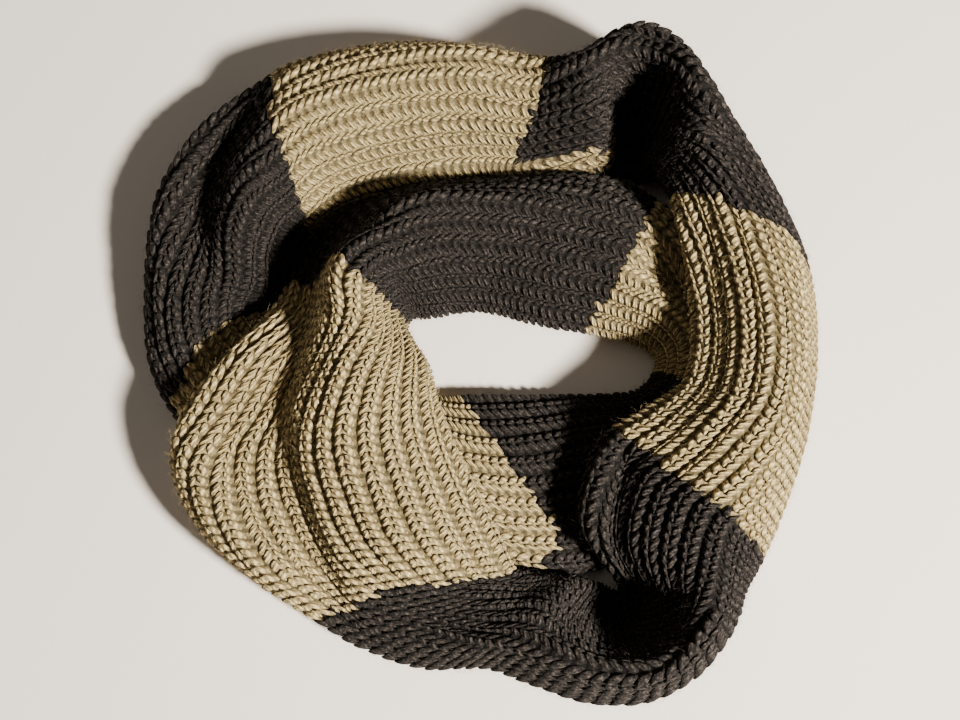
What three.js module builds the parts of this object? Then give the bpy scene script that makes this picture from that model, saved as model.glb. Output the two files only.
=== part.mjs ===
// An infinity scarf: one closed band of rib knit in ten colour blocks, laid on a table in two turns.
// Units are millimetres, +Z is up, and the scarf rests on z = 0. The origin is under the middle of the ring.
import * as THREE from "three";

// Driving sizes of the cloth
const RIB_COUNT = 20;
const WALL = 2.6;
const RIB_RISE = 1.8;
const SEAM_GAP = 0.5;
const DARK_YARN = 0x37322e;
const LIGHT_YARN = 0xa8966f;

// How the cloth stands and turns under
const FLOOR_LIFT = WALL / 2;
const FLOOR_SNAP = 0.3;
const FOOT_RADIUS = 12;
const FOOT_SHARE = 0.5;
const SHOULDER = 19;
const SHOULDER_SHARE = 1 / 2.8;
const LAP_RISE = 9;
const LAP_RUN = 16;
const HEIGHT_PLACES = [0.1, 0.3, 0.5, 0.7, 0.9];
const SEAM_PLACES = [0.15, 0.35, 0.55, 0.68, 0.8];

// The middle of the ring in the plan that the section table uses, which becomes the origin
const RING_MIDDLE = { x: -3.89, y: -3.64 };

// Fineness of the solids
const STEP_LENGTH = 13;
const ARCH_STEPS = 56;
const CORNER_STEPS = 5;
const RIB_FADE = { from: 1.5, to: 7 };
const CREASE_RUN_IN = 2.5;
const NORMAL_REACH = { along: 1, across: 0.006 };

// The bunched cloth inside the rolls, as one rounded core
const CORE_CLEARANCE = 2.1;
const CORE_SIDE = 8;
const CORE_SIDE_SHARE = 1 / 3;
const CORE_STEP = 18;
const CORE_POINTS = 7;
const CORE_LEAST = 1.6;
const CORE_BLUNT = 0.12;
const CORE_ROUNDNESS = 4;
const CORE_LOOKS = [-4, -2, 0, 2, 4];

// The scarf's route, against the clock as seen from above. Each row is a section across the band, from its
// outer foot to its inner foot in plan. outZ and inZ are the heights of the feet, h1 to h5 the heights of the
// cloth at five places between them, and tuckOut and tuckIn the widths that turn under at each foot.
const SECTION_COLUMNS = [
  "stretch", "outX", "outY", "inX", "inY", "outZ", "inZ", "h1", "h2", "h3", "h4", "h5", "tuckOut", "tuckIn",
];
const SECTION_ROWS = [
  ["dark_crown_loop", 153, 40, 89, 65, 0, 44, 56, 71, 80, 80, 74, 10, 2],
  ["dark_crown_loop", 138, 72, 83, 85, 0, 30, 62, 77, 85, 88, 80, 8, 2],
  ["dark_crown_loop", 118, 100, 79, 89, 4, 12, 76, 87, 90, 88, 66, 8, 2],
  ["dark_crown_loop", 103, 123, 77, 91, 8, 2, 86, 90, 80, 46, 22, 8, 1],
  ["dark_crown_loop", 90, 142, 75, 94, 10, 2, 88, 84, 50, 26, 16, 6, 1],
  ["dark_crown_loop", 75, 151, 69, 95, 10, 2, 88, 76, 43, 26, 17, 6, 1],
  ["dark_crown_loop", 60, 148, 62, 96, 8, 2, 84, 76, 48, 30, 19, 8, 1],
  ["dark_crown_loop", 43, 142, 55, 96, 4, 1, 66, 76, 72, 62, 44, 10, 4],
  ["light_top_arc", 28, 147, 20, 94, 0, 0, 48, 60, 58, 46, 30, 14, 18],
  ["light_top_arc", -10, 153, -6, 92, 0, 0, 50, 62, 60, 48, 30, 18, 20],
  ["light_top_arc", -45, 154, -40, 87, 0, 0, 50, 60, 60, 50, 32, 18, 20],
  ["light_top_arc", -80, 148, -70, 78, 0, 0, 50, 58, 60, 54, 36, 16, 18],
  ["dark_left_arc", -106, 138, -87, 67, 0, 0, 50, 54, 60, 56, 42, 16, 18],
  ["dark_left_arc", -138, 114, -95, 56, 0, 0, 50, 42, 52, 60, 47, 16, 16],
  ["dark_left_arc", -158, 82, -99, 44, 0, 0, 48, 42, 46, 56, 45, 16, 16],
  ["dark_left_arc", -164, 44, -103, 33, 0, 0, 44, 42, 47, 48, 38, 16, 18],
  ["light_under_pass", -160, -8, -110, 22, 0, 0, 32, 36, 36, 32, 24, 22, 24],
  ["light_under_pass", -132, -46, -88, 4, 0, 0, 22, 26, 26, 25, 20, 34, 36],
  ["light_under_pass", -84, -74, -54, -12, 0, 0, 20, 25, 26, 25, 20, 36, 38],
  ["light_under_pass", -22, -88, -28, -22, 0, 0, 20, 27, 29, 27, 20, 34, 36],
  ["dark_inner_bottom", 34, -103, -6, -22, 0, 0, 20, 25, 30, 28, 22, 34, 36],
  ["dark_inner_bottom", 76, -91, 38, -22, 0, 0, 20, 25, 30, 30, 22, 34, 36],
  ["dark_inner_bottom", 110, -70, 72, -20, 0, 0, 24, 30, 30, 30, 24, 26, 26],
  ["light_inner_right", 126, -32, 84, -10, 0, 0, 32, 36, 26, 36, 32, 12, 14],
  ["light_inner_right", 128, 10, 84, 2, 0, 0, 34, 36, 24, 38, 34, 12, 14],
  ["light_inner_right", 110, 50, 70, 10, 0, 0, 34, 38, 28, 40, 34, 14, 16],
  ["dark_inner_top", 82, 77, 52, 14, 0, 0, 36, 44, 44, 42, 32, 20, 22],
  ["dark_inner_top", 55, 87, 28, 18, 0, 0, 40, 48, 46, 44, 34, 20, 24],
  ["dark_inner_top", 5, 86, -2, 25, 0, 0, 42, 52, 52, 48, 36, 20, 20],
  ["dark_inner_top", -42, 80, -28, 22, 0, 0, 42, 58, 60, 56, 42, 16, 16],
  ["dark_inner_top", -82, 62, -37, 21, 0, 0, 18, 34, 68, 68, 50, 12, 12],
  ["light_left_over", -94, 42, -41, 12, 2, 6, 20, 32, 74, 78, 60, 6, 8],
  ["light_left_over", -99, 18, -36, 0, 30, 26, 42, 50, 74, 78, 64, 4, 2],
  ["light_left_over", -120, -10, -29, -12, 41, 36, 58, 57, 66, 78, 67, 2, 2],
  ["light_left_over", -140, -36, -25, -28, 32, 38, 50, 49, 64, 77, 69, 2, 2],
  ["light_left_over", -144, -60, -17, -48, 14, 38, 48, 46, 63, 75, 69, 2, 2],
  ["light_left_over", -131, -86, -5, -72, 4, 38, 48, 46, 62, 73, 67, 4, 2],
  ["light_left_over", -108, -106, 4, -90, 0, 36, 46, 46, 60, 70, 62, 10, 2],
  ["dark_bottom_cup", -85, -121, 12, -105, 0, 30, 36, 44, 52, 60, 52, 12, 2],
  ["dark_bottom_cup", -60, -136, 20, -108, 0, 20, 34, 44, 50, 56, 46, 14, 4],
  ["dark_bottom_cup", -30, -146, 30, -110, 0, 8, 42, 52, 56, 55, 42, 14, 6],
  ["dark_bottom_cup", 0, -146, 43, -110, 0, 4, 54, 63, 62, 52, 38, 12, 4],
  ["dark_bottom_cup", 24, -154, 53, -112, 4, 2, 66, 72, 56, 30, 18, 8, 1],
  ["dark_bottom_cup", 48, -161, 59, -114, 6, 2, 74, 74, 44, 20, 14, 8, 1],
  ["dark_bottom_cup", 74, -160, 64, -115, 6, 2, 74, 72, 40, 18, 14, 8, 1],
  ["dark_bottom_cup", 96, -148, 66, -112, 6, 2, 72, 72, 44, 24, 18, 8, 1],
  ["dark_bottom_cup", 111, -130, 62, -105, 4, 8, 68, 72, 54, 40, 34, 8, 1],
  ["dark_bottom_cup", 118, -113, 45, -82, 0, 34, 64, 70, 64, 58, 56, 10, 2],
  ["light_right_arc", 127, -98, 53, -48, 0, 38, 58, 70, 68, 60, 57, 10, 2],
  ["light_right_arc", 139, -72, 73, -34, 0, 44, 56, 72, 74, 70, 60, 10, 2],
  ["light_right_arc", 150, -40, 93, -18, 0, 46, 56, 74, 78, 74, 64, 10, 2],
  ["light_right_arc", 156, 0, 96, 20, 0, 46, 56, 74, 80, 76, 64, 10, 2],
];

const LIGHT_STRETCH = /^light/;

// How far each stretch's first seam leans along the band, in millimetres, at the places of SEAM_PLACES across it.
// A seam that has no row runs straight across.
const SEAM_COLUMNS = ["stretch", "at1", "at2", "at3", "at4", "at5"];
const SEAM_ROWS = [
  ["dark_crown_loop", -8, -6, -3, 0, 4],
  ["light_top_arc", -4, -2, 3, 4, -12],
  ["dark_left_arc", 0, 0, 2, 4, 6],
  ["light_under_pass", 16, 8, 0, 0, 0],
  ["light_left_over", 7, 6, 0, 0, 0],
  ["dark_bottom_cup", 4, 2, -5, -2, 0],
  ["light_right_arc", -4, -2, 2, 5, 8],
];

// The main folds that run along the ribs. Each starts and ends at a share of its stretch, may run past either end,
// and lies at a share of the way across at its start, middle and end. Its two slopes and its depth are in millimetres.
const CREASE_COLUMNS = [
  "stretch", "from", "to", "place1", "place2", "place3", "outWide", "inWide", "deep",
];
const CREASE_ROWS = [
  ["light_left_over", 0, 1.15, 0.2, 0.44, 0.05, 15, 6, 9],
  ["dark_left_arc", -0.1, 0.95, 0.12, 0.33, 0.76, 14, 14, 9],
  ["light_top_arc", -0.25, 1.05, 0.87, 0.84, 0.95, 4, 6, 6],
  ["dark_bottom_cup", 0.6, 1.08, 0.88, 0.81, 0.9, 8, 7, 10],
  ["light_right_arc", -0.1, 1.1, 0.62, 0.6, 0.66, 4, 4, 2.5],
  ["light_right_arc", -0.1, 1.1, 0.8, 0.77, 0.87, 4, 4, 3],
];

// Small helpers
const clamp01 = (x) => Math.min(1, Math.max(0, x));
const mix = (a, b, share) => a + (b - a) * share;
const smoothStep = (x) => x * x * (3 - 2 * x);

// A cubic through values p1 and p2 of a list at uneven places, with p0 and p3 as their neighbours.
function cubic(p, place, x) {
  const span = place[2] - place[1];
  const share = (x - place[1]) / span;
  const slope1 = ((p[2] - p[0]) / (place[2] - place[0])) * span;
  const slope2 = ((p[3] - p[1]) / (place[3] - place[1])) * span;
  const s2 = share * share;
  const s3 = s2 * share;
  return (
    (2 * s3 - 3 * s2 + 1) * p[1] +
    (s3 - 2 * s2 + share) * slope1 +
    (3 * s2 - 2 * s3) * p[2] +
    (s3 - s2) * slope2
  );
}

// The tables as objects, and the distance along the band's middle at each section
const asObjects = (rows, columns) =>
  rows.map((row) => Object.fromEntries(columns.map((name, i) => [name, row[i]])));
const sections = asObjects(SECTION_ROWS, SECTION_COLUMNS);
const seams = asObjects(SEAM_ROWS, SEAM_COLUMNS);
const NUMBER_COLUMNS = SECTION_COLUMNS.slice(1);
const middleOf = (s) => [(s.outX + s.inX) / 2, (s.outY + s.inY) / 2];
const sectionGap = (a, b) => {
  const [ax, ay] = middleOf(a);
  const [bx, by] = middleOf(b);
  return Math.hypot(bx - ax, by - ay);
};
const along = [0];
sections.forEach((s, i) => {
  along.push(along[i] + sectionGap(s, sections[(i + 1) % sections.length]));
});
const BAND_LENGTH = along[sections.length];

// The distances at which a stretch starts and ends
function stretchSpan(stretch) {
  const first = sections.findIndex((s) => s.stretch === stretch);
  const count = sections.filter((s) => s.stretch === stretch).length;
  return [along[first], along[first + count]];
}

// The main folds, with the middle and half the length of each along the band
const creases = asObjects(CREASE_ROWS, CREASE_COLUMNS).map((crease) => {
  const [start, end] = stretchSpan(crease.stretch);
  return {
    ...crease,
    middle: mix(start, end, (crease.from + crease.to) / 2),
    half: ((end - start) * (crease.to - crease.from)) / 2,
  };
});

// How far a stretch's first seam leans along the band at a share of the cloth's width
function seamLean(stretch, across) {
  const seam = seams.find((s) => s.stretch === stretch);
  if (!seam) return 0;
  const leans = [seam.at1, seam.at2, seam.at3, seam.at4, seam.at5];
  const after = SEAM_PLACES.findIndex((place) => place > across);
  if (after === 0) return leans[0];
  if (after < 0) return leans.at(-1);
  const share = (across - SEAM_PLACES[after - 1]) / (SEAM_PLACES[after] - SEAM_PLACES[after - 1]);
  return mix(leans[after - 1], leans[after], smoothStep(share));
}

// The section at a distance along the band, between the rows of the table
function sectionAt(distance) {
  const n = sections.length;
  const d = ((distance % BAND_LENGTH) + BAND_LENGTH) % BAND_LENGTH;
  let i = along.findIndex((a) => a > d) - 1;
  if (i < 0) i = n - 1;
  const wrap = (k) => ({
    row: sections[(k + n) % n],
    place: along[(k + n) % n] + Math.floor(k / n) * BAND_LENGTH,
  });
  const four = [wrap(i - 1), wrap(i), wrap(i + 1), wrap(i + 2)];
  const places = four.map((f) => f.place);
  const section = Object.fromEntries(
    NUMBER_COLUMNS.map((name) => [name, cubic(four.map((f) => f.row[name]), places, d)]),
  );
  section.chord = Math.hypot(section.inX - section.outX, section.inY - section.outY);
  section.distance = d;
  return section;
}

// How far the main folds sink the cloth at a share of the way across a section
function creaseDepth(section, share) {
  let depth = 0;
  for (const crease of creases) {
    const past = section.distance - crease.middle + BAND_LENGTH / 2;
    const onBand = past - Math.floor(past / BAND_LENGTH) * BAND_LENGTH - BAND_LENGTH / 2;
    const away = onBand / crease.half;
    if (Math.abs(away) >= 1) continue;
    const place =
      (crease.place1 * away * (away - 1)) / 2 +
      crease.place2 * (1 - away * away) +
      (crease.place3 * away * (away + 1)) / 2;
    const offset = (share - place) * section.chord;
    const slope = offset / (offset < 0 ? crease.outWide : crease.inWide);
    const fade = smoothStep(clamp01((1 - Math.abs(away)) * CREASE_RUN_IN));
    depth += crease.deep * fade * Math.exp(-slope * slope);
  }
  return depth;
}

// Height of the cloth at a share of the way from the outer foot to the inner one
function archHeight(section, share) {
  const heights = [section.h1, section.h2, section.h3, section.h4, section.h5];
  const last = heights.length - 1;
  const step = HEIGHT_PLACES[1] - HEIGHT_PLACES[0];
  const x = Math.min(last, Math.max(0, (share - HEIGHT_PLACES[0]) / step));
  const i = Math.min(last - 1, Math.floor(x));
  const at = (k) => heights[Math.min(last, Math.max(0, k))];
  const height = cubic([at(i - 1), at(i), at(i + 1), at(i + 2)], [i - 1, i, i + 1, i + 2], x);
  return height - creaseDepth(section, share);
}

// The line of the cloth in a section's own plane: points (t, z) from the outer selvedge to the inner one
function sectionLine(section) {
  const { chord } = section;
  const outZ = Math.max(0, section.outZ) + FLOOR_LIFT;
  const inZ = Math.max(0, section.inZ) + FLOOR_LIFT;
  const outRadius = Math.min(FOOT_RADIUS, (section.h1 - outZ) * FOOT_SHARE);
  const inRadius = Math.min(FOOT_RADIUS, (section.h5 - inZ) * FOOT_SHARE);
  const shoulder = Math.min(SHOULDER, chord * SHOULDER_SHARE);
  const points = [[outRadius + section.tuckOut, outZ]];
  for (let i = 0; i <= CORNER_STEPS; i++) {
    const turn = (i / CORNER_STEPS) * (Math.PI / 2);
    points.push([outRadius * (1 - Math.sin(turn)), outZ + outRadius * (1 - Math.cos(turn))]);
  }
  for (let i = 1; i < ARCH_STEPS; i++) {
    const share = (1 - Math.cos((Math.PI * i) / ARCH_STEPS)) / 2;
    const side = clamp01((chord * Math.min(share, 1 - share)) / shoulder);
    const foot = mix(outZ + outRadius, inZ + inRadius, share);
    const rise = Math.sqrt(1 - (1 - side) ** 2);
    points.push([chord * share, foot + (archHeight(section, share) - foot) * rise]);
  }
  for (let i = 0; i <= CORNER_STEPS; i++) {
    const turn = (i / CORNER_STEPS) * (Math.PI / 2);
    points.push([
      chord - inRadius * (1 - Math.cos(turn)),
      inZ + inRadius * (1 - Math.sin(turn)),
    ]);
  }
  const lap = clamp01(section.tuckIn / LAP_RUN);
  points.push([chord - inRadius - LAP_RUN * lap, inZ + LAP_RISE * lap]);
  if (lap === 1) points.push([chord - inRadius - section.tuckIn, inZ + LAP_RISE]);
  return points;
}

// The middle of the cloth for one section: a function of the share of the cloth's width from the outer selvedge
function clothAcross(section) {
  const { chord } = section;
  const points = sectionLine(section);
  const length = [0];
  for (let i = 1; i < points.length; i++) {
    const [t0, z0] = points[i - 1];
    const [t1, z1] = points[i];
    length.push(length[i - 1] + Math.hypot(t1 - t0, z1 - z0));
  }
  const dirX = (section.inX - section.outX) / chord;
  const dirY = (section.inY - section.outY) / chord;
  return (across) => {
    const wanted = length.at(-1) * across;
    let i = 1;
    while (i < points.length - 1 && length[i] < wanted) i++;
    const share = (wanted - length[i - 1]) / (length[i] - length[i - 1]);
    const t = mix(points[i - 1][0], points[i][0], share);
    const z = mix(points[i - 1][1], points[i][1], share);
    return new THREE.Vector3(section.outX + dirX * t, section.outY + dirY * t, z);
  };
}

const knownLines = new Map();
function clothAt(distance) {
  if (!knownLines.has(distance)) knownLines.set(distance, clothAcross(sectionAt(distance)));
  return knownLines.get(distance);
}

// Points of the cloth along one row: its middle and its outward normal. The row's distance may vary across the cloth.
function clothRow(distanceAt, acrossList) {
  return acrossList.map((across) => {
    const distance = distanceAt(across);
    const here = clothAt(distance);
    const before = clothAt(distance - NORMAL_REACH.along);
    const after = clothAt(distance + NORMAL_REACH.along);
    const low = Math.max(0, across - NORMAL_REACH.across);
    const high = Math.min(1, across + NORMAL_REACH.across);
    const sideways = here(high).sub(here(low));
    const forward = after(across).sub(before(across));
    return { middle: here(across), normal: forward.cross(sideways).normalize() };
  });
}

// Places across the ribbed outer face, a valley and a crest for each rib, and across the plain inner face
const ribbedPlaces = Array.from({ length: 2 * RIB_COUNT + 1 }, (_, i) => ({
  across: i / (2 * RIB_COUNT),
  rise: i % 2,
}));
const plainPlaces = Array.from({ length: RIB_COUNT + 1 }, (_, i) => ({ across: i / RIB_COUNT }));

function outerFace(distanceAt) {
  return clothRow(distanceAt, ribbedPlaces.map((p) => p.across)).map(({ middle, normal }, i) => {
    const fade = smoothStep(clamp01((middle.z - RIB_FADE.from) / (RIB_FADE.to - RIB_FADE.from)));
    const point = middle.addScaledVector(normal, WALL / 2 + ribbedPlaces[i].rise * RIB_RISE * fade);
    if (point.z < FLOOR_SNAP) point.z = 0;
    return point;
  });
}

function innerFace(distanceAt) {
  return clothRow(distanceAt, plainPlaces.map((p) => p.across)).map(({ middle, normal }) =>
    middle.addScaledVector(normal, -WALL / 2),
  );
}

// Joins two lists of point numbers with triangles. Both lists run the same way; turned swaps the side they face.
function zip(lineA, lineB, faces, turned) {
  let a = 0;
  let b = 0;
  while (a < lineA.length - 1 || b < lineB.length - 1) {
    const nextA = (a + 1) / (lineA.length - 1);
    const nextB = (b + 1) / (lineB.length - 1);
    const stepA = b === lineB.length - 1 || (a < lineA.length - 1 && nextA <= nextB);
    const face = stepA
      ? [lineA[a], lineB[b], lineA[a + 1]]
      : [lineA[a], lineB[b], lineB[b + 1]];
    faces.push(turned ? face.reverse() : face);
    if (stepA) a++;
    else b++;
  }
}

// One stretch of the band as a closed wall between its own first seam and that of the next stretch
function stretchGeometry(stretch, nextStretch) {
  const [seamStart, seamEnd] = stretchSpan(stretch);
  const start = seamStart + SEAM_GAP / 2;
  const end = seamEnd - SEAM_GAP / 2;
  const steps = Math.max(2, Math.round((end - start) / STEP_LENGTH));
  const points = [];
  const outer = [];
  const inner = [];
  const keep = (list) => list.map((p) => points.push(p) - 1);
  for (let i = 0; i <= steps; i++) {
    const share = i / steps;
    const distanceAt = (across) =>
      mix(start + seamLean(stretch, across), end + seamLean(nextStretch, across), share);
    outer.push(keep(outerFace(distanceAt)));
    inner.push(keep(innerFace(distanceAt)));
  }
  const faces = [];
  for (let i = 0; i < steps; i++) {
    zip(outer[i], outer[i + 1], faces, false);
    zip(inner[i], inner[i + 1], faces, true);
  }
  const edge = (rows, k) => rows.map((row) => row.at(k));
  zip(edge(inner, 0), edge(outer, 0), faces, true);
  zip(edge(inner, -1), edge(outer, -1), faces, false);
  zip(outer[0], inner[0], faces, true);
  zip(outer[steps], inner[steps], faces, false);
  const geometry = new THREE.BufferGeometry().setFromPoints(points);
  geometry.setIndex(faces.flat());
  geometry.computeVertexNormals();
  return geometry;
}

// The core's ring of points at one distance. Its top stays under the lowest cloth near it, at the places of
// CORE_LOOKS around each point in clearances, and its underside stays over the turned edges.
function coreRow(distance) {
  const section = sectionAt(distance);
  const near = [sectionAt(distance - CORE_STEP / 2), section, sectionAt(distance + CORE_STEP / 2)];
  const { chord } = section;
  const inset = WALL / 2 + CORE_CLEARANCE;
  const side = Math.min(inset + CORE_SIDE, chord * CORE_SIDE_SHARE);
  const lap = clamp01(section.tuckIn / LAP_RUN) * LAP_RISE;
  const rising = section.inZ > section.outZ;
  const top = [];
  const under = [];
  for (let i = 0; i <= CORE_POINTS; i++) {
    const place = i / CORE_POINTS;
    const share = mix(side, chord - side, place) / chord;
    const foot = rising ? 1 - (1 - share) ** 3 : share ** 3;
    const low = Math.max(0, mix(section.outZ, section.inZ, foot)) + FLOOR_LIFT + inset + lap;
    const ceiling = Math.min(
      ...near.flatMap((s) =>
        CORE_LOOKS.map((k) => archHeight(s, share + (k * CORE_CLEARANCE) / chord)),
      ),
    );
    const high = Math.max(low + CORE_LEAST, ceiling - inset - CORE_LEAST);
    const middle = mix(low, high, 0.5);
    const round = Math.sqrt(Math.max(CORE_BLUNT, 1 - (2 * place - 1) ** CORE_ROUNDNESS));
    const point = (z) =>
      new THREE.Vector3(
        mix(section.outX, section.inX, share),
        mix(section.outY, section.inY, share),
        z,
      );
    top.push(point(mix(middle, high, round)));
    under.push(point(mix(middle, low, round)));
  }
  return [...top, ...under.reverse()];
}

// The hidden layers as one closed sweep through both turns of the band
function coreGeometry() {
  const rows = Math.round(BAND_LENGTH / CORE_STEP);
  const points = [];
  const faces = [];
  for (let i = 0; i < rows; i++) points.push(...coreRow((BAND_LENGTH * i) / rows));
  const size = points.length / rows;
  for (let i = 0; i < rows; i++) {
    for (let k = 0; k < size; k++) {
      const here = i * size;
      const next = ((i + 1) % rows) * size;
      const [a, b] = [k, (k + 1) % size];
      faces.push(here + a, next + a, here + b, here + b, next + a, next + b);
    }
  }
  const geometry = new THREE.BufferGeometry().setFromPoints(points);
  geometry.setIndex(faces);
  geometry.computeVertexNormals();
  return geometry;
}

function yarn(color) {
  return new THREE.MeshStandardMaterial({ color, roughness: 0.95, metalness: 0 });
}
const lightYarn = yarn(LIGHT_YARN);
const darkYarn = yarn(DARK_YARN);

// The ring: one named wall for each stretch of one colour
const scarf = new THREE.Group();
const stretches = [...new Set(sections.map((s) => s.stretch))];
stretches.forEach((name, k) => {
  const geometry = stretchGeometry(name, stretches[(k + 1) % stretches.length]);
  const mesh = new THREE.Mesh(geometry, LIGHT_STRETCH.test(name) ? lightYarn : darkYarn);
  mesh.name = name;
  scarf.add(mesh);
});

const core = new THREE.Mesh(coreGeometry(), yarn(DARK_YARN));
core.name = "hidden_layers";
scarf.add(core);
scarf.position.set(-RING_MIDDLE.x, -RING_MIDDLE.y, 0);

export default scarf;
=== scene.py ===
"""An infinity scarf in chunky rib knit, laid down in two turns: ribbed shells that carry knit stitches."""

import math

import bmesh
import bpy
import numpy as np
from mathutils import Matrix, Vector


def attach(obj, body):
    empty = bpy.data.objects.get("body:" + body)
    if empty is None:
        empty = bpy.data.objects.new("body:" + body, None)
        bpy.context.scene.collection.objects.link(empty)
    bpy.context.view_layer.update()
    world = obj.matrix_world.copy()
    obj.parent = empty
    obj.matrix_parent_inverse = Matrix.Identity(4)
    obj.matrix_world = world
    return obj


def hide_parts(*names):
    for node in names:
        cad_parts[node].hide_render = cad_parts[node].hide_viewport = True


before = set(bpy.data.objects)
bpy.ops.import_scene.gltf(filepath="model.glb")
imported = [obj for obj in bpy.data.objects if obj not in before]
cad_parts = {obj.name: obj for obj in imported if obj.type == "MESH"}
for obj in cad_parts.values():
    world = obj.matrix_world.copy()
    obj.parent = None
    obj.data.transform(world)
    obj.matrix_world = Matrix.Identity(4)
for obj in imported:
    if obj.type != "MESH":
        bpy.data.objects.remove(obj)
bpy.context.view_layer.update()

MM = 0.001

# Cloth sizes in millimetres, as in the solids
RIB_COUNT = 20
WALL = 2.6
RIB_RISE = 1.8
SEAM_GAP = 0.5
FLOOR_LIFT = WALL / 2
FOOT_RADIUS = 12
FOOT_SHARE = 0.5
SHOULDER = 19
SHOULDER_SHARE = 1 / 2.8
LAP_RISE = 9
LAP_RUN = 16
HEIGHT_COLUMNS = ("h1", "h2", "h3", "h4", "h5")
HEIGHT_PLACES = (0.1, 0.3, 0.5, 0.7, 0.9)
RING_MIDDLE = (-3.89, -3.64)
ARCH_STEPS = 56
CORNER_STEPS = 5

# Fineness of the visual cloth and of the stitches on it
ROW_STEP = 2.0
PLACES_PER_RIB = 8
SHELL_CELLS_PER_RIB = 6
SHELL_CELL_LENGTH = 3.6
SHELL_LEAST_CELLS = 4
LEG_SIDES = 6
LEG_RINGS = 5
NORMAL_PASSES = 2

# The cloth behind the stitches: how far its valleys lie off the middle of the wall, and how far its ribs rise
SHELL_LIFT = 0.3
SHELL_RIB = 1.5
SHELL_WALL = 2.0
RIB_ROUNDNESS = 0.8

# The ribs fade out over this run above this height, so that they don't reach the floor
RIB_FADE_HEIGHT = 1.5
RIB_FADE_RUN = 5.5

# Knit stitches, in millimetres. Where a leg's root and tip lie across is a share of a rib, and the overlap is
# a share of a row.
STITCH_PITCH = 4.5
RIB_PITCH = 9.2
LEG_LENGTH = 5.9
LEG_OVERLAP = 0.3
LEG_WIDTH = 3.0
LEG_DEPTH = 2.3
LEG_ROOT = 0.09
LEG_TIP = 0.38
LEG_LIFT = 0.4
LEG_CROWN = 2.2
LEG_DIP = 1.0

# How unevenly the legs lie: the spread, and what it comes to in their size, their place across and their lift
LEG_WOBBLE = 0.22
WOBBLE_SIZE = 0.25
WOBBLE_ACROSS = 0.06
WOBBLE_LIFT = 0.5

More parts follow.
